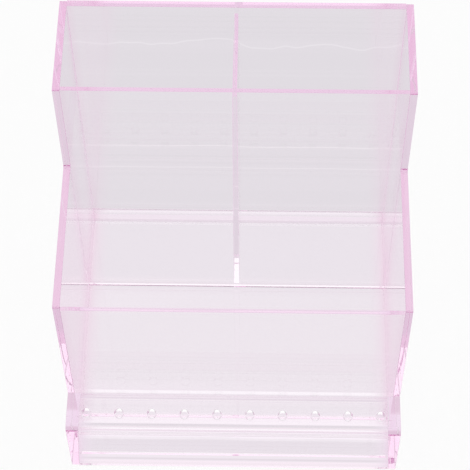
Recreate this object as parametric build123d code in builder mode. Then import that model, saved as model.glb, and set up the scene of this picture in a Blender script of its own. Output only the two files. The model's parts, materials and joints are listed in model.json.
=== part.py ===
from build123d import *
import os

# Stepped storage box of clear sheet. The origin is the middle of its base, +X is to the right
# and -Y is the front, where the low step with the bit holes is. All sizes are in millimetres.

# Outside, and the parts of the depth that the rear bay and the front step take
width = 120.0
depth = 109.0
rear_bay_clear = 33.0
step_reach = 14.5

# Heights above the table
rear_height = 137.5
middle_height = 93.0
step_height = 31.0
floor_top = 10.5

# How far the middle rim, the ledge and the divider lie below the side panels beside them
middle_rim_drop = 2.0
ledge_drop = 2.0
divider_drop = 3.0

# Thickness of the panels. Three of them thin out evenly from their foot to their rim.
sheet = 2.5
rear_wall_rim = 1.6
middle_wall_rim = 1.5
divider_rim = 1.5
divider_foot = 2.3

# Joints and rounded corners
bond = 0.05  # line of cement between two panels
cove = 1.5  # hollow fillet at the foot of a wall
cove_lip = 0.2  # thickness left at the thin edge of a cove
corner_round = 0.8  # outward corners of a side panel
step_corner = 2.5  # its outward corner at the front of the step
inside_corner = 1.5  # inward corner where the rear bay drops to the middle bay
rack_corner = 0.8  # outside of the ledge's front corner
rack_fillet = 2.5  # inside of the ledge's front corner

# Ears: the side panels thicken towards the top beside the ledge
ear_top = 2.2
ear_foot = 0.2

# Holes for the bits
hole_count = 10
hole_diameter = 3.2
hole_edge_margin = 0.6  # between an end hole and the ear beside it
hole_row_shift = 0.6  # from the middle of the ledge towards the back

# Places that follow from the sizes above
back_y = depth / 2
rear_front_y = back_y - 2 * sheet - rear_bay_clear
step_front_y = -depth / 2
middle_front_y = step_front_y + step_reach

side_x = width / 2
clear_x = side_x - sheet
panel_x = clear_x - bond

foot_z = floor_top + bond
cove_top = foot_z + cove + cove_lip
floor_underside = floor_top - sheet
divider_top = rear_height - divider_drop
ledge_top = step_height - ledge_drop
ear_at_floor = ear_foot + (ear_top - ear_foot) * floor_top / step_height

end_hole_x = clear_x - ear_top - hole_edge_margin - hole_diameter / 2
hole_pitch = 2 * end_hole_x / (hole_count - 1)
hole_row_y = middle_front_y - step_reach / 2 + hole_row_shift

forward, backward, up = Vector(-1, 0), Vector(1, 0), Vector(0, 1)


def cove_face(corner, own_way, other_way):
    """Section of a cove: it is tangent to its own wall, and thins to a lip over the other."""
    tip = corner + other_way * cove
    lip = tip + own_way * cove_lip
    shoulder = corner + own_way * (cove_lip + cove)
    centre = lip + own_way * cove
    waist = centre - (own_way + other_way).normalized() * cove
    with BuildSketch() as section:
        with BuildLine():
            Polyline(shoulder, corner, tip, lip)
            ThreePointArc(lip, waist, shoulder)
        make_face()
    return section.sketch


def wall_face(front, low, high, rim):
    """Section of an upright wall: above its cove, the rear face leans forward to the rim."""
    with BuildSketch() as section:
        with BuildLine():
            Polyline(
                (front, low),
                (front + sheet, low),
                (front + sheet, cove_top),
                (front + rim, high),
                (front, high),
                close=True,
            )
        make_face()
    return section.sketch


def corner_edges(panel, y, z):
    """The edges along X of a part at one corner of its outline."""
    return panel.edges().filter_by(Axis.X).filter_by(
        lambda edge: abs(edge.center().Y - y) < bond and abs(edge.center().Z - z) < bond
    )


# Right side panel: the stepped outline, and the ear beside the ledge
with BuildPart() as right_side_panel:
    with BuildSketch(Plane.YZ.offset(clear_x)):
        with BuildLine():
            Polyline(
                (back_y, 0),
                (back_y, rear_height),
                (rear_front_y, rear_height),
                (rear_front_y, middle_height),
                (middle_front_y, middle_height),
                (middle_front_y, step_height),
                (step_front_y, step_height),
                (step_front_y, 0),
                close=True,
            )
        make_face()
    extrude(amount=sheet)
    with BuildSketch(Plane.XZ.offset(bond - middle_front_y)):
        with BuildLine():
            Polyline(
                (clear_x, 0),
                (clear_x, step_height),
                (clear_x - ear_top, step_height),
                (clear_x - ear_foot, 0),
                close=True,
            )
        make_face()
    extrude(amount=step_reach - bond)
    fillet(corner_edges(right_side_panel, rear_front_y, middle_height), inside_corner)
    fillet(corner_edges(right_side_panel, step_front_y, step_height), step_corner)
    for corner_y, corner_z in (
        (back_y, rear_height),
        (rear_front_y, rear_height),
        (middle_front_y, middle_height),
    ):
        fillet(corner_edges(right_side_panel, corner_y, corner_z), corner_round)

with BuildPart() as left_side_panel:
    mirror(right_side_panel.part, about=Plane.YZ)

# Back panel: stands on the table, with a cove over the rear edge of the floor
with BuildPart() as back_panel:
    with BuildSketch(Plane.YZ):
        add(wall_face(back_y - sheet, 0, rear_height, sheet))
        add(cove_face(Vector(back_y - sheet, foot_z), up, forward))
    extrude(amount=panel_x, both=True)

# Front panel of the rear bay: stands on the floor, with a cove on both sides
with BuildPart() as rear_bay_front_panel:
    with BuildSketch(Plane.YZ):
        add(wall_face(rear_front_y, foot_z, rear_height, rear_wall_rim))
        add(cove_face(Vector(rear_front_y, foot_z), up, forward))
        add(cove_face(Vector(rear_front_y + sheet, foot_z), up, backward))
    extrude(amount=panel_x, both=True)

# Front panel of the middle bay: its rim lies below the side panels
with BuildPart() as middle_bay_front_panel:
    with BuildSketch(Plane.YZ):
        add(wall_face(middle_front_y, foot_z, middle_height - middle_rim_drop, middle_wall_rim))
        add(cove_face(Vector(middle_front_y + sheet, foot_z), up, backward))
    extrude(amount=panel_x, both=True)

# Centre divider: splits the rear bay. Its lower corners are cut off to clear the coves, its front
# edge follows the leaning wall, and it thins out towards its top.
rise_share = (divider_top - cove_top) / (rear_height - cove_top)
divider_front_foot = rear_front_y + sheet + bond
divider_front_top = divider_front_foot - (sheet - rear_wall_rim) * rise_share
divider_rear = back_y - sheet - bond
corner_cut = cove + cove_lip + bond

with BuildPart() as centre_divider:
    with BuildSketch(Plane.YZ):
        with BuildLine():
            Polyline(
                (divider_front_foot + corner_cut, foot_z),
                (divider_rear - corner_cut, foot_z),
                (divider_rear, foot_z + corner_cut),
                (divider_rear, divider_top),
                (divider_front_top, divider_top),
                (divider_front_foot, foot_z + corner_cut),
                close=True,
            )
        make_face()
    extrude(amount=divider_foot / 2, both=True)
    with BuildSketch(Plane.XZ):
        with BuildLine():
            Polyline(
                (divider_foot / 2, foot_z),
                (divider_rim / 2, divider_top),
                (-divider_rim / 2, divider_top),
                (-divider_foot / 2, foot_z),
                close=True,
            )
        make_face()
    extrude(amount=depth, both=True, mode=Mode.INTERSECT)

# Floor panel: one sheet under all bays, narrower between the ears
with BuildPart() as floor_panel:
    with BuildSketch(Plane.XY.offset(floor_underside)):
        with BuildLine():
            Polyline(
                (0, back_y - sheet - bond),
                (panel_x, back_y - sheet - bond),
                (panel_x, middle_front_y + bond),
                (panel_x - ear_at_floor, middle_front_y + bond),
                (panel_x - ear_at_floor, step_front_y + sheet + bond),
                (0, step_front_y + sheet + bond),
                close=True,
            )
        make_face()
        mirror(about=Plane.YZ)
    extrude(amount=sheet)

# Bit rack: the ledge and the front wall in one piece, between the ears
with BuildPart() as bit_rack:
    with BuildSketch(Plane.YZ) as rack_profile:
        with BuildLine():
            Polyline(
                (step_front_y, 0),
                (step_front_y, ledge_top),
                (middle_front_y - bond, ledge_top),
                (middle_front_y - bond, ledge_top - sheet),
                (step_front_y + sheet, ledge_top - sheet),
                (step_front_y + sheet, 0),
                close=True,
            )
        make_face()
        fillet(rack_profile.vertices().sort_by_distance((step_front_y, ledge_top))[0], rack_corner)
        inner_corner = (step_front_y + sheet, ledge_top - sheet)
        fillet(rack_profile.vertices().sort_by_distance(inner_corner)[0], rack_fillet)
        add(cove_face(Vector(middle_front_y - bond, ledge_top), forward, up))
    extrude(amount=panel_x, both=True)
    with BuildSketch(Plane.XZ.offset(-middle_front_y)):
        with BuildLine():
            Polyline(
                (panel_x - ear_foot, 0),
                (panel_x - ear_top, step_height),
                (ear_top - panel_x, step_height),
                (ear_foot - panel_x, 0),
                close=True,
            )
        make_face()
    extrude(amount=step_reach, mode=Mode.INTERSECT)
    with Locations((0, hole_row_y, ledge_top)):
        with GridLocations(hole_pitch, hole_pitch, hole_count, 1):
            Hole(hole_diameter / 2)

pieces = {
    "left_side_panel": left_side_panel,
    "right_side_panel": right_side_panel,
    "back_panel": back_panel,
    "rear_bay_front_panel": rear_bay_front_panel,
    "middle_bay_front_panel": middle_bay_front_panel,
    "centre_divider": centre_divider,
    "floor_panel": floor_panel,
    "bit_rack": bit_rack,
}

os.makedirs("parts", exist_ok=True)
for name, piece in pieces.items():
    piece.part.label = name
    export_step(piece.part, f"parts/{name}.step")
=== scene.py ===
"""Dress the stepped storage box: eight cemented pieces of clear pink sheet in a soft studio.

Places are in metres, in the frame of the loaded model: X to the right, -Y to the front, Z up.
"""

from __future__ import annotations

import json
import logging
import math
from dataclasses import dataclass, field
from enum import Enum
from typing import Any, Callable, Mapping, Sequence

import bpy
import numpy as np
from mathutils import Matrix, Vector
from mathutils.geometry import delaunay_2d_cdt


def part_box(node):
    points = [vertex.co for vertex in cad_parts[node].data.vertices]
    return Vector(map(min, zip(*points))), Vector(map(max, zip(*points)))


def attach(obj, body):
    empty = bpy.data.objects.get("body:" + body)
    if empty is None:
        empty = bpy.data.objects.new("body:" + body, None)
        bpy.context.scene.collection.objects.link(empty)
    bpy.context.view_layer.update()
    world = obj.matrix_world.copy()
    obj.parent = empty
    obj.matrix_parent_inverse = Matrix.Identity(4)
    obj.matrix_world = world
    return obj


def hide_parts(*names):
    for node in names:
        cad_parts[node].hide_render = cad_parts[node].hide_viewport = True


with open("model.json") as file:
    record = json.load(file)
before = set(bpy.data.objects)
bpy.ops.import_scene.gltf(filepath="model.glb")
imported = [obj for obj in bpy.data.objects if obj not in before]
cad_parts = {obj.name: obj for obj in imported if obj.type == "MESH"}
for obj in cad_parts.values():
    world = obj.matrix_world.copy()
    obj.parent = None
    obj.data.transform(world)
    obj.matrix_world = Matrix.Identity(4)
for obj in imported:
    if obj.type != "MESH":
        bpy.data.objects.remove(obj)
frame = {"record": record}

Array = np.ndarray
Place = tuple[float, float, float]
Tone = tuple[float, float, float]
Colour = "Socket | Tone"
Reach = Callable[[Array], Array]
Plates = Mapping[int, tuple[Sequence[Array], bool]]
Object = bpy.types.Object

MM = 0.001
WELD = 1e-7  # points nearer than this are one point
ARC_POINTS = 17
HOLE_POINTS = 48
ROUND_POINTS = 5  # points across a rounded edge
FILL_INSIDE = 1  # the kind of filling that keeps the triangles inside the border
FILL_TOLERANCE = 1e-5
FACING = math.cos(math.radians(1))  # a face turned less than this away still faces a direction
SHARP = math.radians(30)
CEMENTED = "cemented"
WHITE = (1.0, 1.0, 1.0)

X, Y, Z = np.eye(3)

log = logging.getLogger("storage_box")


class Side(Enum):
    """The two sides of the box, with the sign of X on each."""

    LEFT = -1
    RIGHT = 1


class Ray(Enum):
    """Kinds of light ray that the floor and the surroundings tell apart."""

    CAMERA = "Is Camera Ray"
    REFLECTED = "Is Glossy Ray"
    REFRACTED = "Is Transmission Ray"


# Outlines


@dataclass(frozen=True)
class Corner:
    """A corner of an outline, and the radius of the arc that rounds it."""

    across: float
    up: float
    radius: float = 0.0


def unit(vectors: Array) -> Array:
    """Scale each row to length one, and leave a row of zeros as it is."""
    length = np.linalg.norm(vectors, axis=-1, keepdims=True)
    return vectors / np.where(length > 0, length, 1)


def rounded_outline(*corners: Corner) -> Array:
    """Work out a closed outline with an arc at each corner that has a radius.

    An arc starts on the side before its corner, at the radius over the tangent of half the
    corner's angle. Its centre is on the bisector, at the radius over the sine of that half angle,
    and its points turn about the centre in even steps.

    Args:
        *corners: The corners in order, counter-clockwise.

    Returns:
        The outline's points, one row each.
    """
    points = np.array([(corner.across, corner.up) for corner in corners])
    radii = np.array([corner.radius for corner in corners])[:, None]
    back = unit(np.roll(points, 1, axis=0) - points)
    ahead = unit(np.roll(points, -1, axis=0) - points)
    half = 0.5 * np.arccos(np.clip((back * ahead).sum(axis=1, keepdims=True), -1, 1))
    start = points + back * radii / np.tan(half)
    centre = points + unit(back + ahead) * radii / np.sin(half)
    turn = -np.sign(back[:, :1] * ahead[:, 1:] - back[:, 1:] * ahead[:, :1])
    angle = (turn * (math.pi - 2 * half) * np.linspace(0, 1, ARC_POINTS))[..., None]
    spoke = (start - centre)[:, None]
    across_spoke = spoke[..., ::-1] * (-1, 1)
    arcs = centre[:, None] + spoke * np.cos(angle) + across_spoke * np.sin(angle)
    outline = arcs.reshape(-1, 2)
    step = np.linalg.norm(outline - np.roll(outline, 1, axis=0), axis=1)
    return outline[step > WELD]


def inset(outline: Array, distance: Array) -> Array:
    """Move a closed outline inwards.

    Each point moves along the mean of the inward normals of its two sides, by the distance over
    the cosine of the angle between that mean and either normal.

    Args:
        outline: The outline's points, counter-clockwise.
        distance: How far each point's sides move.

    Returns:
        The moved points, one for each point of the outline.
    """
    side = unit(np.roll(outline, -1, axis=0) - outline)
    normal = side[:, ::-1] * (-1, 1)
    mean = unit(normal + np.roll(normal, 1, axis=0))
    lean = (mean * normal).sum(axis=1)
    return outline + mean * (distance / lean)[:, None]


def at_x(x: Array | float, points: Array) -> Array:
    """Place points of the YZ plane at the given X."""
    return np.column_stack((np.broadcast_to(x, len(points)), points))


def everywhere(value: float) -> Reach:
    """Give the same value at every height."""
    return lambda z: np.full_like(z, value)


def quarter_round() -> tuple[Array, Array]:
    """Work out the section of an edge rounded to a radius of one.

    At an angle from 0 to a right angle, it lies inside the one face by one less the sine, and
    inside the other by one less the cosine.

    Returns:
        The two distances for each point across the edge.
    """
    angle = np.linspace(0, math.pi / 2, ROUND_POINTS)
    return 1 - np.sin(angle), 1 - np.cos(angle)


# Sizes


@dataclass(frozen=True)
class Seam:
    """Where two pieces are cemented together, as a box that holds both faces of the joint.

    Its X range is a distance from the middle plane, because the box is the same on both sides.
    The lean is how far its rear side comes forward from its foot to its top.
    """

    x: tuple[float, float]
    y: tuple[float, float]
    z: tuple[float, float]
    lean: float = 0.0

    def rear(self, z: Array) -> Array:
        """Give the place of the seam's rear side at a height."""
        low, high = self.z
        return self.y[1] - self.lean * (z - low) / (high - low)

    def holds(self, points: Array) -> Array:
        """Tell which points lie inside the seam.

        Args:
            points: The points, one row each.

        Returns:
            True or False for each point.
        """
        low, high = np.array((self.x, self.y, self.z)).T
        place = np.abs(points) * (1, 0, 0) + points * (0, 1, 1)
        inside = ((place > low) & (place < high)).all(axis=1)
        return inside & (place[:, 1] < self.rear(place[:, 2]))

    def section(self, reach: Reach, side: Side) -> Array:
        """Give the seam's outline in the YZ plane as a loop on a side face of a piece.

        Args:
            reach: Gives the face's distance from the middle plane at a height.
            side: The side of the box that the face is on.

        Returns:
            The four points of the loop.
        """
        z = np.repeat(self.z, 2)
        rear = self.rear(z)
        y = np.array([self.y[0], rear[1], rear[2], self.y[0]])
        return at_x(side.value * reach(z), np.column_stack((y, z)))

    def patch(self, face: Reach, reach: Reach) -> Array:
        """Give the seam's outline as a loop on the face of a wall.

        Args:
            face: Gives the Y of the wall's face at a height.
            reach: Gives half the width of the seam at a height.

        Returns:
            The four points of the loop.
        """
        z = np.repeat(self.z, 2)
        sign = np.array([-1, 1, 1, -1])
        return np.column_stack((sign * reach(z), face(z), z))

    def footprint(self, z: float) -> Array:
        """Give the seam's outline in the XY plane as a loop on a level face at that Z."""
        reach, (front, rear) = self.x[1], self.y
        return np.array([(-reach, front, z), (reach, front, z), (reach, rear, z), (-reach, rear, z)])


@dataclass(frozen=True)
class BoxPlan:
    """The planes and small sizes of the storage box, most of them read from the loaded model."""

    side_x: float
    panel_x: float
    sheet: float
    divider_foot: float
    bond: float
    back_y: float
    rear_front_y: float
    middle_front_y: float
    step_front_y: float
    rear_height: float
    middle_rim: float
    divider_top: float
    floor_top: float
    floor_underside: float
    ledge_top: float
    rear_wall_rim: float = 1.6 * MM
    middle_wall_rim: float = 1.5 * MM
    divider_rim: float = 1.5 * MM
    middle_rim_drop: float = 2 * MM
    ledge_drop: float = 2 * MM
    cove: float = 1.5 * MM
    cove_lip: float = 0.2 * MM
    corner_round: float = 0.8 * MM
    step_corner: float = 2.5 * MM
    inside_corner: float = 1.5 * MM
    rack_corner: float = 0.8 * MM
    rack_fillet: float = 2.5 * MM
    ear_top: float = 2.2 * MM
    ear_foot: float = 0.2 * MM
    edge_round: float = 0.2 * MM
    hole_radius: float = 1.6 * MM
    hole_lip: float = 0.3 * MM
    hole_edge_margin: float = 0.6 * MM
    hole_row_shift: float = 0.6 * MM
    cement_margin: float = 0.15 * MM
    cement_rim: float = 0.5 * MM

    @classmethod
    def from_frame(cls) -> BoxPlan:
        """Read the planes from the boxes of the loaded pieces.

        Returns:
            The plan.
        """
        low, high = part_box("right_side_panel")
        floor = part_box("floor_panel")
        sheet = floor[1].z - floor[0].z
        bond = high.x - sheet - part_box("back_panel")[1].x
        rear_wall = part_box("rear_bay_front_panel")
        middle_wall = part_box("middle_bay_front_panel")
        rack_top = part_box("bit_rack")[1].z
        return cls(
            side_x=high.x,
            panel_x=high.x - sheet - bond,
            sheet=sheet,
            divider_foot=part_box("centre_divider")[1].x * 2,
            bond=bond,
            back_y=high.y,
            rear_front_y=(rear_wall[0].y + rear_wall[1].y - sheet) / 2,
            middle_front_y=middle_wall[0].y,
            step_front_y=low.y,
            rear_height=high.z,
            middle_rim=middle_wall[1].z,
            divider_top=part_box("centre_divider")[1].z,
            floor_top=floor[1].z,
            floor_underside=floor[0].z,
            ledge_top=rack_top - cls.cove - cls.cove_lip,
        )

    @property
    def clear_x(self) -> float:
        """Inner face of the side panels."""
        return self.side_x - self.sheet

    @property
    def foot_z(self) -> float:
        """Underside of the walls that stand on the floor."""
        return self.floor_top + self.bond

    @property
    def step_height(self) -> float:
        """Top of the side panels beside the ledge."""
        return self.ledge_top + self.ledge_drop

    @property
    def middle_height(self) -> float:
        """Top of the side panels beside the middle bay."""
        return self.middle_rim + self.middle_rim_drop

    def wall_thickness(self, z: Array, top: float, rim: float) -> Array:
        """Thickness of a wall, which falls evenly from its cove to its rim."""
        foot = self.foot_z + self.cove_lip
        return self.sheet - (self.sheet - rim) * np.clip((z - foot) / (top - foot), 0, 1)

    def rear_wall_back(self, z: Array) -> Array:
        """Rear face of the wall between the rear and middle bays."""
        return self.rear_front_y + self.wall_thickness(z, self.rear_height, self.rear_wall_rim)

    def divider_half(self, z: Array) -> Array:
        """Half the thickness of the divider, which falls evenly from its foot to its top."""
        rise = (z - self.foot_z) / (self.divider_top - self.foot_z)
        return (self.divider_foot + (self.divider_rim - self.divider_foot) * rise) / 2

    def divider_window(self, z: Array) -> Array:
        """Half the width of the cement on the edges of the divider."""
        return self.divider_half(z) - self.cement_margin

    def ear(self, z: Array) -> Array:
        """Thickness of the ears, which grows evenly from their foot to the top of the step."""
        return self.ear_foot + (self.ear_top - self.ear_foot) * z / self.step_height

    def ear_face(self, z: Array) -> Array:
        """Inner face of an ear."""
        return self.clear_x - self.ear(z)

    def rack_end(self, z: Array) -> Array:
        """End of the bit rack, which follows the ear."""
        return self.panel_x - self.ear(z)

    def cement_span(self, low: float, high: float) -> tuple[float, float]:
        """Draw a span in by the margin that the cement keeps from an edge."""
        return low + self.cement_margin, high - self.cement_margin

    @property
    def floor_edge(self) -> tuple[float, float]:
        """Heights between which the edges of the floor are cemented."""
        return self.cement_span(self.floor_underside, self.floor_top)

    def side_seams(self) -> list[Seam]:
        """Seams on the side panels behind the step: the back, two walls and the floor.

        Returns:
            The seams, in that order.
        """
        across = (self.panel_x - self.bond, self.clear_x + self.bond)
        rim, margin = self.cement_rim, self.cement_margin
        rear = self.back_y - self.sheet
        walls = [
            (self.rear_front_y, self.rear_height, self.rear_wall_rim),
            (self.middle_front_y, self.middle_rim, self.middle_wall_rim),
        ]
        floor = self.cement_span(self.middle_front_y + self.bond, rear - self.bond)
        return [
            Seam(across, (rear + margin, self.back_y - rim), (rim, self.rear_height - rim)),
            *(
                Seam(
                    across,
                    (front + rim, front + self.sheet - margin),
                    (self.foot_z + margin, top - rim),
                    self.sheet - self.wall_thickness(top - rim, top, thickness),
                )
                for front, top, thickness in walls
            ),
            Seam(across, floor, self.floor_edge),
        ]

    def ear_seams(self) -> list[Seam]:
        """Seams on the ears: the front wall and the ledge of the bit rack, and the floor.

        Returns:
            The seams, in that order.
        """
        across = (self.clear_x - self.ear_top - 2 * self.bond, self.clear_x + self.bond)
        rim, margin = self.cement_rim, self.cement_margin
        front, rear = self.step_front_y, self.middle_front_y - self.bond
        corner = self.sheet + self.rack_fillet
        ledge = self.cement_span(self.ledge_top - self.sheet, self.ledge_top)
        return [
            Seam(across, (front + rim, front + self.sheet - margin), (rim, self.ledge_top - corner)),
            Seam(across, (front + corner, rear - margin), ledge),
            Seam(across, self.cement_span(front + self.sheet + self.bond, rear), self.floor_edge),
        ]

    def divider_seams(self) -> list[Seam]:
        """Seams between the centre divider and the walls before and behind it.

        Returns:
            The seam with each wall, the one before it first.
        """
        across = (-self.sheet, self.divider_foot / 2 - self.cement_margin)
        low = self.foot_z + self.cove + self.cove_lip + self.bond + self.cement_margin
        upright = (low, self.divider_top - self.cement_rim)
        front, rear = self.rear_front_y, self.back_y - self.sheet
        return [
            Seam(across, (front + self.rear_wall_rim, front + self.sheet + 2 * self.bond), upright),
            Seam(across, (rear - 2 * self.bond, rear + self.bond), upright),
        ]

    def foot_seams(self) -> list[Seam]:
        """Seams on top of the floor: under the coves, under two walls and under the divider.

        Returns:
            The seams, from the back to the front, and then the divider's.
        """
        across = (-self.sheet, self.panel_x - self.cement_margin)
        level = (self.floor_top - self.bond, self.foot_z + self.bond)
        rear = self.back_y - self.sheet
        wall, middle = self.rear_front_y, self.middle_front_y
        reach = self.sheet + self.cove
        corner_cut = self.cove + self.cove_lip + 2 * self.bond
        return [
            Seam(across, (rear - self.cove + self.cement_margin, rear - 2 * self.bond), level),
            Seam(across, self.cement_span(wall - self.cove, wall + reach), level),
            Seam(across, self.cement_span(middle + self.bond, middle + reach), level),
            Seam(
                (-self.sheet, self.divider_foot / 2 - self.cement_margin),
                self.cement_span(wall + self.sheet + corner_cut, rear - corner_cut),
                level,
            ),
        ]

    def edge_seams(self) -> list[Seam]:
        """Seams along the floor's rear and front edges and along the rear edge of the ledge.

        Returns:
            The seams, in that order.
        """
        across = (-self.sheet, self.side_x)
        rear, front = self.back_y - self.sheet, self.step_front_y + self.sheet
        middle = self.middle_front_y
        ledge = self.cement_span(self.ledge_top - self.sheet, self.ledge_top + self.cove + self.cove_lip)
        return [
            Seam(across, (rear - 2 * self.bond, rear + self.bond), self.floor_edge),
            Seam(across, (front - self.bond, front + 2 * self.bond), self.floor_edge),
            Seam(across, (middle - 2 * self.bond, middle + self.bond), ledge),
        ]

    def all_seams(self) -> list[Seam]:
        """List every seam of the box."""
        return [
            *self.side_seams(),
            *self.ear_seams(),
            *self.divider_seams(),
            *self.foot_seams(),
            *self.edge_seams(),
        ]


# Shader graphs


@dataclass(frozen=True)
class Socket:
    """An output of a shader node. Arithmetic on it adds Math nodes."""

    graph: Graph
    output: bpy.types.NodeSocket | None

    def __add__(self, other: Socket | float) -> Socket:
        """Add a value or another socket."""
        return self.graph.math("ADD", self, other)

    def __sub__(self, other: Socket | float) -> Socket:
        """Subtract a value or another socket."""
        return self.graph.math("SUBTRACT", self, other)

    def __rsub__(self, other: float) -> Socket:
        """Subtract this socket from a value."""
        return self.graph.math("SUBTRACT", other, self)

    def __mul__(self, other: Socket | float) -> Socket:
        """Multiply by a value or another socket."""
        return self.graph.math("MULTIPLY", self, other)

    def __rmul__(self, other: float) -> Socket:
        """Multiply a value by this socket."""
        return self.graph.math("MULTIPLY", other, self)


class Graph:
    """The node tree of one material or world."""

    def __init__(self, owner: bpy.types.Material | bpy.types.World) -> None:
        """Empty the owner's node tree.

        Args:
            owner: The material or world that the nodes are for.
        """
        owner.use_nodes = True
        self.tree = owner.node_tree
        self.tree.nodes.clear()

    def node(
        self,
        kind: str,
        settings: Mapping[str, Any] | None = None,
        inputs: Mapping[str | int, Any] | None = None,
        output: str | int = 0,
    ) -> Socket:
        """Add one node.

        Args:
            kind: The node's type, such as ShaderNodeMath.
            settings: Its properties, which are set first.
            inputs: A value or a socket for each named or numbered input.
            output: The output that is wanted.

        Returns:
            That output, ready for arithmetic.
        """
        node = self.tree.nodes.new(kind)
        for name, value in (settings or {}).items():
            setattr(node, name, value)
        for name, value in (inputs or {}).items():
            if isinstance(value, Socket):
                self.tree.links.new(value.output, node.inputs[name])
            else:
                node.inputs[name].default_value = value
        return Socket(self, node.outputs[output] if node.outputs else None)

    def math(self, operation: str, first: Socket | float, second: Socket | float = 0.0) -> Socket:
        """Add a Math node on one or two values or sockets."""
        return self.node("ShaderNodeMath", {"operation": operation}, {0: first, 1: second})

    def blend(self, share: Socket, first: Colour, second: Colour) -> Socket:
        """Blend two colours.

        Args:
            share: How much of the second colour there is, from 0 to 1.
            first: The colour where the share is 0.
            second: The colour where the share is 1.

        Returns:
            The blended colour.
        """
        colours = [colour if isinstance(colour, Socket) else (*colour, 1) for colour in (first, second)]
        inputs = {"Factor": share, 6: colours[0], 7: colours[1]}
        return self.node("ShaderNodeMix", {"data_type": "RGBA"}, inputs, output=2)

    def rise(self, value: Socket, start: float, length: float) -> Socket:
        """Rise from 0 to 1 along an S-shaped curve, from the start over the length."""
        inputs = {"Value": value, "From Min": start, "From Max": start + length}
        return self.node("ShaderNodeMapRange", {"interpolation_type": "SMOOTHSTEP"}, inputs)

    def axes(self, vector: Socket) -> list[Socket]:
        """Take a vector apart into its X, Y and Z."""
        return [self.node("ShaderNodeSeparateXYZ", inputs={0: vector}, output=axis) for axis in "XYZ"]

    def ray(self, kind: Ray) -> Socket:
        """Give 1 for that kind of light ray and 0 for the others."""
        return self.node("ShaderNodeLightPath", output=kind.value)


# Finishes


@dataclass(frozen=True)
class ClearPinkSheet:
    """Polished acrylic sheet with a pale pink tint that deepens where the light goes far through it.

    A faint tint of its faces stands for the soft inner corners, and a painted shade on its faces
    dulls the glint at the foot of the back panel. A cemented face lets light straight through, as
    the two sheets are one piece there.
    """

    tint: Tone = (0.985, 0.76, 0.93)
    density: float = 8.5
    refraction: float = 1.49
    flow_size: float = 45.0
    flow_detail: float = 1.0
    flow_depth: float = 0.005 * MM
    corner_tint: Tone = (0.992, 0.94, 0.972)
    corner_reach: float = 3 * MM
    # painted shade: a darker colour on the faces at the foot of the back panel, which dulls its glint
    foot_painted_shade: Tone = (0.77, 0.72, 0.77)
    foot_height: float = 1.8 * MM

    def material(self, slot: str, plan: BoxPlan) -> bpy.types.Material:
        """Make the material.

        Args:
            slot: The name of the record's material slot, which the material takes too.
            plan: The sizes of the box, which say where its inner corners and its feet are.

        Returns:
            The material, for every piece of the box.
        """
        material = bpy.data.materials.new(slot)
        graph = Graph(material)
        place = graph.node("ShaderNodeTexCoord", output="Object")
        flow_inputs = {"Vector": place, "Scale": self.flow_size, "Detail": self.flow_detail}
        flow = graph.node("ShaderNodeTexNoise", inputs=flow_inputs)
        ripple_inputs = {"Height": flow, "Distance": self.flow_depth, "Strength": 1.0}
        ripple = graph.node("ShaderNodeBump", inputs=ripple_inputs)
        marks = {"attribute_name": CEMENTED, "attribute_type": "GEOMETRY"}
        cemented = graph.node("ShaderNodeAttribute", marks, output="Fac")
        x, y, z = graph.axes(place)
        across = graph.math("ABSOLUTE", x)
        corner = graph.rise(across, plan.clear_x - self.corner_reach, self.corner_reach)
        inner = graph.math("LESS_THAN", across, plan.clear_x + plan.sheet / 2)
        at_back = graph.math("GREATER_THAN", y, plan.rear_front_y)
        middle = self.foot_height / 2
        low = graph.math("LESS_THAN", graph.math("ABSOLUTE", z - middle), middle - plan.bond)
        between = graph.math("LESS_THAN", across, plan.panel_x + plan.bond / 2)
        cornered = graph.blend(corner * inner, WHITE, self.corner_tint)
        # painted shade at the foot of the back panel, laid over the tint of the inner corners
        tinted_and_shaded = graph.blend(low * at_back * between, cornered, self.foot_painted_shade)
        surface = graph.node(
            "ShaderNodeBsdfPrincipled",
            inputs={
                "Base Color": tinted_and_shaded,
                "Roughness": 0.0,
                "IOR": self.refraction,
                "Transmission Weight": 1.0,
                "Alpha": 1 - cemented,
                "Normal": ripple,
            },
        )
        absorbed = {"Color": (*self.tint, 1), "Density": self.density}
        body = graph.node("ShaderNodeVolumeAbsorption", inputs=absorbed)
        graph.node("ShaderNodeOutputMaterial", inputs={"Surface": surface, "Volume": body})
        return material


@dataclass(frozen=True)
class Band:
    """A stretch of the floor along Y, in a colour of its own: a painted band of light, or of shade.

    Soft is the width of its edges, and wave is how far they wander as they go along X.
    """

    low: float
    high: float
    soft: float
    colour: Tone
    wave: float = 0.0


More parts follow.
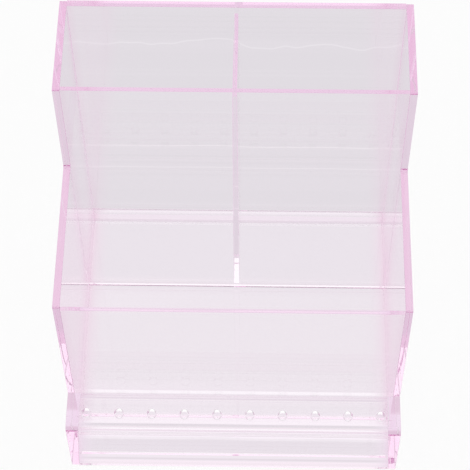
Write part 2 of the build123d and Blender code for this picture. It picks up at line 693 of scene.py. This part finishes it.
@dataclass(frozen=True)
class PaleFloor:
    """A pale floor. The camera sees it near white, and the clear sheet shows painted light on it.

    It is white before the box, with painted shade behind it. Painted light stands for the light
    that has come through the box: it pools under the box, pinker beside it, and gathers in bands
    along its walls. The side away from the left softbox is painted a little darker, and far from
    the box the floor is white again.
    """

    paint: Tone = (0.8, 0.8, 0.8)
    white_share: float = 0.93
    front_colour: Tone = (1.0, 0.95, 1.0)
    pool_colour: Tone = (0.86, 0.795, 0.855)
    shade_colour: Tone = (0.745, 0.717, 0.755)
    side_colour: Tone = (0.85, 0.72, 0.81)
    side_reach: float = 9 * MM
    side_fade: float = 0.8
    far_colour: Tone = (0.97, 0.96, 0.97)
    far_start: float = 190 * MM
    far_fade: float = 250 * MM
    edge_fade: float = 4 * MM
    right_shade: float = 0.2
    wave_size: float = 30.0
    # painted bands of light and shade on the floor; the faint thin wavy ones far behind the box are
    # painted highlights
    bands: tuple[Band, ...] = (
        Band(145 * MM, 145.6 * MM, 0.5 * MM, (0.81, 0.785, 0.82), wave=16 * MM),
        Band(91.3 * MM, 91.7 * MM, 0.3 * MM, (0.85, 0.82, 0.85), wave=2 * MM),
        Band(80.9 * MM, 81.2 * MM, 0.3 * MM, (0.85, 0.82, 0.85), wave=1 * MM),
        Band(54.8 * MM, 57.5 * MM, 0.5 * MM, (0.90, 0.80, 0.885)),
        Band(51.8 * MM, 54.5 * MM, 0.3 * MM, (1.0, 0.96, 1.0)),
        Band(26 * MM, 51 * MM, 3 * MM, (0.815, 0.765, 0.82)),
        Band(-22 * MM, 8 * MM, 5 * MM, (0.81, 0.752, 0.805)),
        Band(-24 * MM, -22.8 * MM, 0.25 * MM, (1.0, 0.95, 1.0)),
        Band(-41.6 * MM, -35.5 * MM, 0.8 * MM, (0.96, 0.88, 0.95), wave=1.5 * MM),
        Band(-47.6 * MM, -42.4 * MM, 0.4 * MM, (0.75, 0.69, 0.75), wave=1 * MM),
        Band(-50.1 * MM, -49.4 * MM, 0.3 * MM, (0.75, 0.68, 0.74)),
        Band(-54 * MM, -50.4 * MM, 0.3 * MM, (0.95, 0.84, 0.92)),
    )
    # painted light and shade on the floor beside the box, by the ears
    side_bands: tuple[Band, ...] = (
        Band(-55 * MM, -38 * MM, 2 * MM, (0.87, 0.76, 0.87)),
        Band(-38 * MM, -28 * MM, 2 * MM, (0.76, 0.61, 0.72)),
    )

    def material(self, plan: BoxPlan) -> bpy.types.Material:
        """Make the floor's material, whose diffuse part keeps the shadow of the box.

        Args:
            plan: The sizes of the box, whose base is where the pool of light lies.

        Returns:
            The material.
        """
        material = bpy.data.materials.new("pale_floor")
        graph = Graph(material)
        painted = graph.node("ShaderNodeBsdfDiffuse", inputs={"Color": (*self.paint, 1)})
        # painted light and shade: the floor's colour by place, an emission for reflected and transmitted
        # rays
        through = graph.node("ShaderNodeEmission", inputs={"Color": self._lit_colour(graph, plan)})
        white = graph.node("ShaderNodeEmission", inputs={"Color": (*WHITE, 1)})
        direct = (1 - graph.ray(Ray.REFLECTED)) * (1 - graph.ray(Ray.REFRACTED))
        seen = self.white_share * graph.ray(Ray.CAMERA)
        lit = graph.node("ShaderNodeMixShader", inputs={0: 1 - direct, 1: painted, 2: through})
        both = graph.node("ShaderNodeMixShader", inputs={0: seen, 1: lit, 2: white})
        graph.node("ShaderNodeOutputMaterial", inputs={"Surface": both})
        return material

    def _lit_colour(self, graph: Graph, plan: BoxPlan) -> Socket:
        """Work out the floor's painted light and shade from its place, some bands wavy along X.

        Args:
            graph: The graph of the floor.
            plan: The sizes of the box.

        Returns:
            The painted colour that reflected and transmitted rays bring from the floor.
        """
        x, y, _ = graph.axes(graph.node("ShaderNodeTexCoord", output="Object"))
        wave_inputs = {"W": x, "Scale": self.wave_size}
        wave = graph.node("ShaderNodeTexNoise", {"noise_dimensions": "1D"}, wave_inputs) - 0.5
        before = 1 - graph.rise(y, plan.step_front_y - self.edge_fade, self.edge_fade)
        behind = graph.rise(y, plan.back_y + self.edge_fade / 2, self.edge_fade)
        # painted shade: the floor darker towards the right, away from the left softbox
        rightwards = self.right_shade * graph.rise(x, -plan.side_x, 2 * plan.side_x)
        middle = graph.blend(rightwards, self.pool_colour, self.shade_colour)
        middle = graph.blend(before, middle, self.front_colour)
        middle = graph.blend(behind, middle, self.shade_colour)
        middle = self._banded(y, wave, middle, self.bands)
        side = self._banded(y, wave, self.side_colour, self.side_bands)
        beside = graph.rise(graph.math("ABSOLUTE", x), plan.side_x - self.side_reach, self.side_reach)
        near = graph.blend(beside * (1 - self.side_fade * behind), middle, side)
        distance = graph.math("SQRT", x * x + y * y)
        return graph.blend(graph.rise(distance, self.far_start, self.far_fade), near, self.far_colour)

    def _banded(self, y: Socket, wave: Socket, colour: Colour, bands: Sequence[Band]) -> Socket:
        """Lay bands over a colour.

        Args:
            y: The place along Y.
            wave: A value between -0.5 and 0.5 that wanders along X.
            colour: The colour under the bands.
            bands: The bands, where a later one lies over an earlier one.

        Returns:
            The colour with the bands on it.
        """
        graph = y.graph
        for band in bands:
            moved = y + band.wave * wave
            begun = graph.rise(moved, band.low, band.soft)
            ended = graph.rise(moved, band.high, band.soft)
            colour = graph.blend(begun * (1 - ended), colour, band.colour)
        return colour


# Meshes


@dataclass
class Shell:
    """A closed surface put together from triangles, each given by its three corner points."""

    patches: list[Array] = field(default_factory=list)

    def strip(self, low: Array, high: Array, closed: bool = False) -> None:
        """Join two rows of points with triangles, facing to the right of the rows' direction.

        Args:
            low: The row on the low side.
            high: The row on the high side, with as many points.
            closed: Whether the last points join the first.
        """
        if closed:
            low, high = (np.vstack((row, row[:1])) for row in (low, high))
        first = np.stack((low[:-1], low[1:], high[1:]), axis=1)
        second = np.stack((low[:-1], high[1:], high[:-1]), axis=1)
        self.patches.append(np.concatenate((first, second)))

    def fill(
        self,
        border: Array,
        across: Array,
        up: Array,
        windows: Sequence[Array] = (),
        cut: bool = False,
    ) -> None:
        """Fill a flat border with triangles that face along across x up.

        Args:
            border: The points of the border, in either direction.
            across: The direction that counts as across.
            up: The direction that counts as up.
            windows: Loops inside the border, along which the triangles are parted.
            cut: Whether the windows are left open.
        """
        loops = [loop[:: self._turn(loop, across, up)] for loop in (border, *windows)]
        ends = np.cumsum([len(loop) for loop in loops])
        points = np.concatenate(loops)
        faces = [list(range(end - len(loop), end)) for end, loop in zip(ends, loops)]
        flat = [Vector(point) for point in np.column_stack((points @ across, points @ up)) / MM]
        made = delaunay_2d_cdt(flat, [], faces, FILL_INSIDE, FILL_TOLERANCE)
        _, _, triangles, sources, _, owners = made
        origin = np.array([source[0] for source in sources])
        corners = points[origin[np.array(triangles)]]
        if cut:
            corners = corners[np.array([max(owner) for owner in owners]) == 0]
        self.patches.append(corners)

    @staticmethod
    def _turn(loop: Array, across: Array, up: Array) -> int:
        """Tell whether a loop runs counter-clockwise, which counts as 1, or clockwise, as -1.

        Args:
            loop: The points of the loop.
            across: The direction that counts as across.
            up: The direction that counts as up.

        Returns:
            1 or -1.
        """
        u, v = loop @ across, loop @ up
        area = (u * np.roll(v, -1) - v * np.roll(u, -1)).sum()
        return 1 if area > 0 else -1

    def extrude(
        self,
        outline: Array,
        reach: Reach,
        seams: Sequence[Seam] = (),
        plates: Plates | None = None,
    ) -> None:
        """Carry an outline of the YZ plane from one end of a piece to the other along X.

        Args:
            outline: The outline's points, counter-clockwise from the right.
            reach: Gives the distance of the ends from the middle plane at a height.
            seams: Seams at the two ends.
            plates: For the number of a side of the outline, loops on the face that it makes, and
                whether they are open.
        """
        plates = plates or {}
        span = reach(outline[:, 1])
        low, high = at_x(-span, outline), at_x(span, outline)
        for number in range(len(outline)):
            pair = [number, (number + 1) % len(outline)]
            if number in plates:
                windows, cut = plates[number]
                border = np.vstack((low[pair], high[pair[::-1]]))
                self.fill(border, unit(low[pair[1]] - low[pair[0]]), X, windows, cut)
            else:
                self.strip(low[pair], high[pair])
        for side, ends, across in ((Side.LEFT, low, -Y), (Side.RIGHT, high, Y)):
            self.fill(ends, across, Z, [seam.section(reach, side) for seam in seams])

    def mirrored(self) -> Shell:
        """Give the same shell on the other side of the middle plane, still facing outwards."""
        return Shell([patch[:, ::-1] * (-1, 1, 1) for patch in self.patches])

    def mesh(self, name: str, seams: Sequence[Seam]) -> bpy.types.Mesh:
        """Weld the triangles into a mesh, and mark the cemented faces on it.

        Args:
            name: The mesh's name.
            seams: The seams of the whole box.

        Returns:
            The mesh, shaded smooth where its faces meet at a small angle.
        """
        corners = np.concatenate(self.patches)
        _, first, index = np.unique(
            np.round(corners.reshape(-1, 3) / WELD).astype(np.int64),
            axis=0,
            return_index=True,
            return_inverse=True,
        )
        points = corners.reshape(-1, 3)[first]
        triangles = index.reshape(-1, 3)
        whole = (triangles != np.roll(triangles, 1, axis=1)).all(axis=1)
        triangles = triangles[whole]
        self._report_gaps(name, triangles)
        mesh = bpy.data.meshes.new(name)
        mesh.from_pydata(points.tolist(), [], triangles.tolist())
        centres = points[triangles].mean(axis=1)
        cemented = np.any([seam.holds(centres) for seam in seams], axis=0)
        marks = mesh.attributes.new(CEMENTED, "FLOAT", "FACE")
        marks.data.foreach_set("value", cemented.astype(np.float32))
        mesh.polygons.foreach_set("use_smooth", np.ones(len(triangles), dtype=bool))
        mesh.set_sharp_from_angle(angle=SHARP)
        return mesh

    @staticmethod
    def _report_gaps(name: str, triangles: Array) -> None:
        """Warn if an edge of the surface doesn't have exactly two faces.

        Args:
            name: The name of the surface.
            triangles: Its triangles, as numbers of points.
        """
        edges = np.sort(np.concatenate((triangles[:, :2], triangles[:, 1:], triangles[:, ::2])), axis=1)
        _, uses = np.unique(edges, axis=0, return_counts=True)
        if (uses != 2).any():
            log.warning("%s has %d open or doubled edges", name, int((uses != 2).sum()))


def face_towards(outline: Array, direction: tuple[float, float]) -> int:
    """Find the longest side of an outline that faces a direction.

    Args:
        outline: The outline's points, counter-clockwise.
        direction: The outward direction in the outline's plane.

    Returns:
        The number of the side, which is that of its first point.
    """
    side = np.roll(outline, -1, axis=0) - outline
    outwards = unit(side)[:, ::-1] * (1, -1)
    faces = outwards @ np.array(direction) > FACING
    return int(np.argmax(np.linalg.norm(side, axis=1) * faces))


def placed(name: str, data: bpy.types.ID) -> Object:
    """Put a new object into the scene.

    Args:
        name: The object's name.
        data: Its mesh, lamp or camera.

    Returns:
        The object.
    """
    item = bpy.data.objects.new(name, data)
    bpy.context.scene.collection.objects.link(item)
    return item


@dataclass(frozen=True)
class Workshop:
    """Turns shells into finished pieces of the box."""

    plan: BoxPlan
    material: bpy.types.Material
    slot: str

    def finish(self, node: str, shell: Shell) -> Object:
        """Make one piece, which stands for a loaded piece.

        Args:
            node: The name of the loaded piece.
            shell: The finer surface.

        Returns:
            The new piece.
        """
        mesh = shell.mesh(f"clear_{node}", self.plan.all_seams())
        mesh.materials.append(self.material)
        piece = placed(mesh.name, mesh)
        even = piece.modifiers.new("even_flats", "WEIGHTED_NORMAL")
        even.keep_sharp = True
        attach(piece, "root")
        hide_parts(node)
        log.info("%s: %d faces", piece.name, len(mesh.polygons))
        return piece


# Sub-assemblies


@dataclass(frozen=True)
class SidePanel:
    """One stepped side panel, with the ear that thickens it beside the ledge."""

    shop: Workshop
    side: Side
    ease: float = 0.3 * MM  # length over which the rounded edge fades out at the ear

    def build(self) -> Object:
        """Build the panel and put it in place of the loaded one.

        Returns:
            The new piece.
        """
        shell = self._right_shell()
        if self.side is Side.LEFT:
            shell = shell.mirrored()
        return self.shop.finish(f"{self.side.name.lower()}_side_panel", shell)

    def _outline(self) -> Array:
        """Work out the stepped outline, starting where the ear ends at the base.

        Returns:
            The outline's points.
        """
        plan = self.shop.plan
        cut = plan.middle_front_y - plan.bond
        return rounded_outline(
            Corner(cut, 0),
            Corner(cut + self.ease, 0),
            Corner(plan.back_y, 0, plan.corner_round),
            Corner(plan.back_y, plan.rear_height, plan.corner_round),
            Corner(plan.rear_front_y, plan.rear_height, plan.corner_round),
            Corner(plan.rear_front_y, plan.middle_height, plan.inside_corner),
            Corner(plan.middle_front_y, plan.middle_height, plan.corner_round),
            Corner(plan.middle_front_y, plan.step_height + self.ease),
            Corner(plan.middle_front_y, plan.step_height),
            Corner(cut, plan.step_height),
            Corner(cut - self.ease, plan.step_height),
            Corner(plan.step_front_y, plan.step_height, plan.step_corner),
            Corner(plan.step_front_y, 0, plan.corner_round),
            Corner(cut - self.ease, 0),
        )

    def _right_shell(self) -> Shell:
        """Build the right panel, whose edges are quarter rounds that fade out where the ear begins.

        Returns:
            The shell of the right panel.
        """
        plan = self.shop.plan
        outline = self._outline()
        top = int(np.argmin(np.abs(outline - (plan.middle_front_y - plan.bond, plan.step_height)).sum(1)))
        count = len(outline)
        behind = np.arange(top + 1)
        beside = np.r_[top:count, 0]
        sharp = np.isin(np.arange(count), (0, top - 1, top))
        radius = np.where(sharp, 0.0, plan.edge_round)
        section = zip(*quarter_round())
        rings = [(inset(outline, radius * aside), radius * depth) for aside, depth in section]
        shell = Shell()
        for part, face, seams in (
            (behind, everywhere(plan.clear_x), plan.side_seams()),
            (beside, plan.ear_face, plan.ear_seams()),
        ):
            rows = [at_x(face(ring[:, 1]) + depth, ring)[part] for ring, depth in rings]
            if part is beside:
                rows.append(at_x(plan.clear_x, outline)[part])
            rows += [at_x(plan.side_x - depth, ring)[part] for ring, depth in reversed(rings)]
            for low, high in zip(rows, rows[1:]):
                shell.strip(low, high)
            shell.fill(rows[0], -Y, Z, [seam.section(face, Side.RIGHT) for seam in seams])
        shell.fill(at_x(plan.side_x, rings[0][0]), Y, Z)
        ends = outline[[0, top]]
        shell.strip(at_x(plan.ear_face(ends[:, 1]), ends), at_x(plan.clear_x, ends))
        return shell


@dataclass(frozen=True)
class BayWalls:
    """The back, the two walls before the bays, and the divider of the rear bay."""

    shop: Workshop

    def build(self) -> list[Object]:
        """Build the four upright pieces."""
        return [self._back(), self._rear_wall(), self._middle_wall(), self._divider()]

    def _cove_corners(self, wall_y: float, way: int) -> list[Corner]:
        """List the corners of a cove at the foot of a wall, from the wall outwards.

        Args:
            wall_y: The face of the wall that the cove runs along.
            way: The sign of the direction in which the cove reaches from the wall.

        Returns:
            The hollow corner, and the lip's two corners on the floor.
        """
        plan = self.shop.plan
        tip = wall_y + way * plan.cove
        top = plan.foot_z + plan.cove_lip
        return [Corner(wall_y, top, plan.cove), Corner(tip, top), Corner(tip, plan.foot_z)]

    def _carry(self, node: str, outline: Array, seam: Seam, plates: Plates | None = None) -> Object:
        """Make a wall that runs from side panel to side panel, with a seam at both ends.

        Args:
            node: The name of the loaded piece.
            outline: The wall's section in the YZ plane.
            seam: The seam at its ends.
            plates: Loops on its faces, as for Shell.extrude.

        Returns:
            The new piece.
        """
        shell = Shell()
        shell.extrude(outline, everywhere(self.shop.plan.panel_x), [seam], plates)
        return self.shop.finish(node, shell)

    def _back(self) -> Object:
        """Build the back, which stands on the table, with a cove over the floor's rear edge.

        Returns:
            The new piece.
        """
        plan = self.shop.plan
        front = plan.back_y - plan.sheet
        floor_low, floor_high = plan.floor_edge
        outline = rounded_outline(
            Corner(front, 0, plan.edge_round),
            Corner(plan.back_y, 0, plan.edge_round),
            Corner(plan.back_y, plan.rear_height, plan.edge_round),
            Corner(front, plan.rear_height, plan.edge_round),
            *self._cove_corners(front, -1),
            Corner(front, plan.foot_z),
            Corner(front, floor_high),
            Corner(front, floor_low),
        )
        window = plan.divider_seams()[1].patch(everywhere(front), plan.divider_window)
        plates = {face_towards(outline, (-1, 0)): ([window], False)}
        return self._carry("back_panel", outline, plan.side_seams()[0], plates)

    def _rear_wall(self) -> Object:
        """Build the wall between the rear and middle bays, with a cove on both sides.

        Returns:
            The new piece.
        """
        plan = self.shop.plan
        front, rear = plan.rear_front_y, plan.rear_front_y + plan.sheet
        outline = rounded_outline(
            *self._cove_corners(rear, 1)[::-1],
            Corner(front + plan.rear_wall_rim, plan.rear_height, plan.edge_round),
            Corner(front, plan.rear_height, plan.edge_round),
            *self._cove_corners(front, -1),
        )
        window = plan.divider_seams()[0].patch(plan.rear_wall_back, plan.divider_window)
        plates = {face_towards(outline, (1, 0)): ([window], False)}
        return self._carry("rear_bay_front_panel", outline, plan.side_seams()[1], plates)

    def _middle_wall(self) -> Object:
        """Build the wall before the middle bay, which the ledge meets in front.

        Returns:
            The new piece.
        """
        plan = self.shop.plan
        front, rear = plan.middle_front_y, plan.middle_front_y + plan.sheet
        ledge_low, ledge_high = plan.edge_seams()[2].z
        outline = rounded_outline(
            Corner(front, plan.foot_z),
            *self._cove_corners(rear, 1)[::-1],
            Corner(front + plan.middle_wall_rim, plan.middle_rim, plan.edge_round),
            Corner(front, plan.middle_rim, plan.edge_round),
            Corner(front, ledge_high),
            Corner(front, ledge_low),
        )
        return self._carry("middle_bay_front_panel", outline, plan.side_seams()[2])

    def _divider(self) -> Object:
        """Build the divider, whose lower corners are cut off to clear the coves.

        Its front edge follows the leaning wall.

        Returns:
            The new piece.
        """
        plan = self.shop.plan
        cut = plan.cove + plan.cove_lip + plan.bond
        front_foot = plan.rear_wall_back(plan.foot_z + cut) + plan.bond
        front_top = plan.rear_wall_back(plan.divider_top) + plan.bond
        rear = plan.back_y - plan.sheet - plan.bond
        outline = rounded_outline(
            Corner(front_foot + cut, plan.foot_z),
            Corner(rear - cut, plan.foot_z),
            Corner(rear, plan.foot_z + cut),
            Corner(rear, plan.divider_top, plan.edge_round),
            Corner(front_top, plan.divider_top, plan.edge_round),
            Corner(front_foot, plan.foot_z + cut),
        )
        shell = Shell()
        shell.extrude(outline, plan.divider_half)
        return self.shop.finish("centre_divider", shell)


@dataclass(frozen=True)
class BayFloor:
    """The one floor under all bays, narrower between the ears."""

    shop: Workshop

    def build(self) -> Object:
        """Build the floor, with its upper face parted along the feet of the walls.

        Returns:
            The new piece.
        """
        plan = self.shop.plan
        rear = plan.back_y - plan.sheet - plan.bond
        notch = plan.middle_front_y + plan.bond
        front = plan.step_front_y + plan.sheet + plan.bond
        narrow = plan.panel_x - plan.ear(plan.floor_top)
        right = np.array([(narrow, front), (narrow, notch), (plan.panel_x, notch), (plan.panel_x, rear)])
        left = right[::-1] * (-1, 1)
        outline = np.vstack((right, left))
        low = np.column_stack((outline, np.full(len(outline), plan.floor_underside)))
        high = np.column_stack((outline, np.full(len(outline), plan.floor_top)))
        shell = Shell()
        shell.strip(low, high, closed=True)
        shell.fill(low, -X, Y)
        shell.fill(high, X, Y, [seam.footprint(plan.floor_top) for seam in plan.foot_seams()])
        return self.shop.finish("floor_panel", shell)


@dataclass(frozen=True)
class BitRack:
    """The ledge with its row of bit holes, in one piece with the front wall."""

    shop: Workshop
    holes: int = 10

    def build(self) -> Object:
        """Build the ledge and the front wall with the holes.

        Returns:
            The new piece.
        """
        plan = self.shop.plan
        outline = self._outline()
        top, under = plan.ledge_top, plan.ledge_top - plan.sheet
        middles = self._hole_middles()
        plates = {
            face_towards(outline, (0, 1)): ([self._ring(place, top) for place in middles], True),
            face_towards(outline, (0, -1)): ([self._ring(place, under) for place in middles], True),
        }
        shell = Shell()
        shell.extrude(outline, plan.rack_end, plan.ear_seams()[:2], plates)
        for place in middles:
            self._line_hole(shell, place)
        return self.shop.finish("bit_rack", shell)

    def _outline(self) -> Array:
        """Work out the section of the ledge and front wall, with a cove along the middle wall.

        Returns:
            The outline's points.
        """
        plan = self.shop.plan
        front, inner = plan.step_front_y, plan.step_front_y + plan.sheet
        rear = plan.middle_front_y - plan.bond
        top, under = plan.ledge_top, plan.ledge_top - plan.sheet
        floor_low, floor_high = plan.floor_edge
        return rounded_outline(
            Corner(front, 0, plan.edge_round),
            Corner(inner, 0, plan.edge_round),
            Corner(inner, floor_low),
            Corner(inner, floor_high),
            Corner(inner, under, plan.rack_fillet),
            Corner(rear, under),
            Corner(rear, top + plan.cove),
            Corner(rear - plan.cove_lip, top + plan.cove),
            Corner(rear - plan.cove_lip, top, plan.cove),
            Corner(front, top, plan.rack_corner),
        )

    def _hole_middles(self) -> list[tuple[float, float]]:
        """Spread the holes evenly between the ears, a little behind the middle of the ledge.

        Returns:
            X and Y of each hole's axis.
        """
        plan = self.shop.plan
        end = plan.clear_x - plan.ear_top - plan.hole_edge_margin - plan.hole_radius
        row = (plan.middle_front_y + plan.step_front_y) / 2 + plan.hole_row_shift
        return [(float(x), row) for x in np.linspace(-end, end, self.holes)]

    def _ring(self, middle: tuple[float, float], z: float, radius: float | None = None) -> Array:
        """Work out a level circle round a hole's axis.

        Args:
            middle: X and Y of the axis.
            z: The height of the circle.
            radius: Its radius, by default that of the outer edge of the hole's rim.

        Returns:
            The circle's points.
        """
        plan = self.shop.plan
        radius = radius or plan.hole_radius + plan.hole_lip
        angle = np.linspace(0, 2 * math.pi, HOLE_POINTS, endpoint=False)
        x, y = middle
        level = np.full_like(angle, z)
        return np.column_stack((x + radius * np.cos(angle), y + radius * np.sin(angle), level))

    def _line_hole(self, shell: Shell, middle: tuple[float, float]) -> None:
        """Line one hole, with both rims rounded by a quarter round as wide as the lip.

        Args:
            shell: The shell that the lining joins.
            middle: The hole's place on the ledge.
        """
        plan = self.shop.plan
        aside, depth = (plan.hole_lip * share for share in quarter_round())
        radii = plan.hole_radius + np.r_[aside, aside[::-1]]
        heights = np.r_[plan.ledge_top - depth, (plan.ledge_top - plan.sheet + depth)[::-1]]
        rings = [self._ring(middle, z, radius) for z, radius in zip(heights, radii)]
        for high, low in zip(rings, rings[1:]):
            shell.strip(high, low, closed=True)


# Studio


@dataclass(frozen=True)
class Softbox:
    """A square-edged soft lamp that shines with the same brightness all over."""

    name: str
    place: Place
    size: tuple[float, float]
    brightness: float
    aim: Place = (0, 0, 0.05)

    def build(self) -> Object:
        """Hang the lamp and turn it to its aim.

        A lamp whose surface shines with brightness one gives pi watts for each square metre.

        Returns:
            The lamp.
        """
        lamp = bpy.data.lights.new(self.name, "AREA")
        lamp.shape = "RECTANGLE"
        lamp.size, lamp.size_y = self.size
        lamp.energy = self.brightness * math.pi * self.size[0] * self.size[1]
        softbox = placed(self.name, lamp)
        softbox.location = self.place
        beam = Vector(self.aim) - Vector(self.place)
        softbox.rotation_euler = beam.to_track_quat("-Z", "Y").to_euler()
        return softbox


@dataclass(frozen=True)
class Studio:
    """The pale floor, the white surroundings, the soft lamps and the camera."""

    plan: BoxPlan
    floor: PaleFloor = PaleFloor()
    floor_side: float = 6.0
    floor_drop: float = 0.2 * MM
    surroundings: float = 0.68
    horizon_height: float = 0.1  # sine of the elevation where the bright horizon begins to dim
    horizon_fade: float = 0.2
    softboxes: tuple[Softbox, ...] = (
        Softbox("overhead_softbox", place=(0.0, 0.6, 0.9), size=(1.2, 1.0), brightness=0.45),
        Softbox("left_softbox", place=(-0.7, -0.3, 0.6), size=(0.4, 0.6), brightness=0.5),
    )
    bounces: int = 128
    camera_place: Place = (0.00873, -0.33356, 0.60971)
    camera_turn: tuple[float, float, float] = (31.9937, 0.3242, 0.9689)  # in degrees
    focal_length: float = 137.125
    sensor: float = 36.0
    clip_start: float = 0.01

    def build(self) -> None:
        """Set up the floor, the light and the camera."""
        self._lay_floor()
        self._light()
        self._place_camera()
        self._set_render()

    def _lay_floor(self) -> None:
        """Lay a square floor just under the box."""
        half = self.floor_side / 2
        corners = [(-half, -half), (half, -half), (half, half), (-half, half)]
        mesh = bpy.data.meshes.new("floor")
        mesh.from_pydata([(x, y, -self.floor_drop) for x, y in corners], [], [range(4)])
        mesh.materials.append(self.floor.material(self.plan))
        placed("floor", mesh)

    def _light(self) -> None:
        """Hang the soft lamps in white surroundings, which light the box less than they show.

        They are full white for the camera and near the horizon, and dimmer further up.
        """
        world = bpy.data.worlds.new("white_surroundings")
        bpy.context.scene.world = world
        graph = Graph(world)
        _, _, height = graph.axes(graph.node("ShaderNodeTexCoord", output="Generated"))
        higher = graph.rise(height, self.horizon_height, self.horizon_fade)
        strength = 1 - (1 - self.surroundings) * higher * (1 - graph.ray(Ray.CAMERA))
        white = graph.node("ShaderNodeBackground", inputs={"Color": (*WHITE, 1), "Strength": strength})
        graph.node("ShaderNodeOutputWorld", inputs={"Surface": white})
        for softbox in self.softboxes:
            softbox.build()

    def _place_camera(self) -> None:
        """Place the camera before and above the box, at the photograph's viewing angle."""
        camera = bpy.data.cameras.new("camera")
        camera.sensor_width = self.sensor
        camera.lens = self.focal_length
        camera.clip_start = self.clip_start
        viewer = placed("camera", camera)
        viewer.location = self.camera_place
        viewer.rotation_euler = [math.radians(angle) for angle in self.camera_turn]
        bpy.context.scene.camera = viewer

    def _set_render(self) -> None:
        """Let light pass through many faces of the sheet, and show colours as they are written."""
        scene = bpy.context.scene
        cycles = scene.cycles
        cycles.max_bounces = self.bounces
        cycles.transmission_bounces = self.bounces
        cycles.glossy_bounces = self.bounces
        cycles.transparent_max_bounces = self.bounces
        cycles.blur_glossy = 0.0
        cycles.use_denoising = True
        scene.view_settings.view_transform = "Standard"


def main() -> None:
    """Build the box and the studio."""
    logging.basicConfig(level=logging.INFO, format="%(message)s")
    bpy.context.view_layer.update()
    plan = BoxPlan.from_frame()
    slot = frame["record"]["materials"][0]["slot"]
    shop = Workshop(plan, ClearPinkSheet().material(slot, plan), slot)
    for side in Side:
        SidePanel(shop, side).build()
    BayWalls(shop).build()
    BayFloor(shop).build()
    BitRack(shop).build()
    Studio(plan).build()


if __name__ == "__main__":
    main()
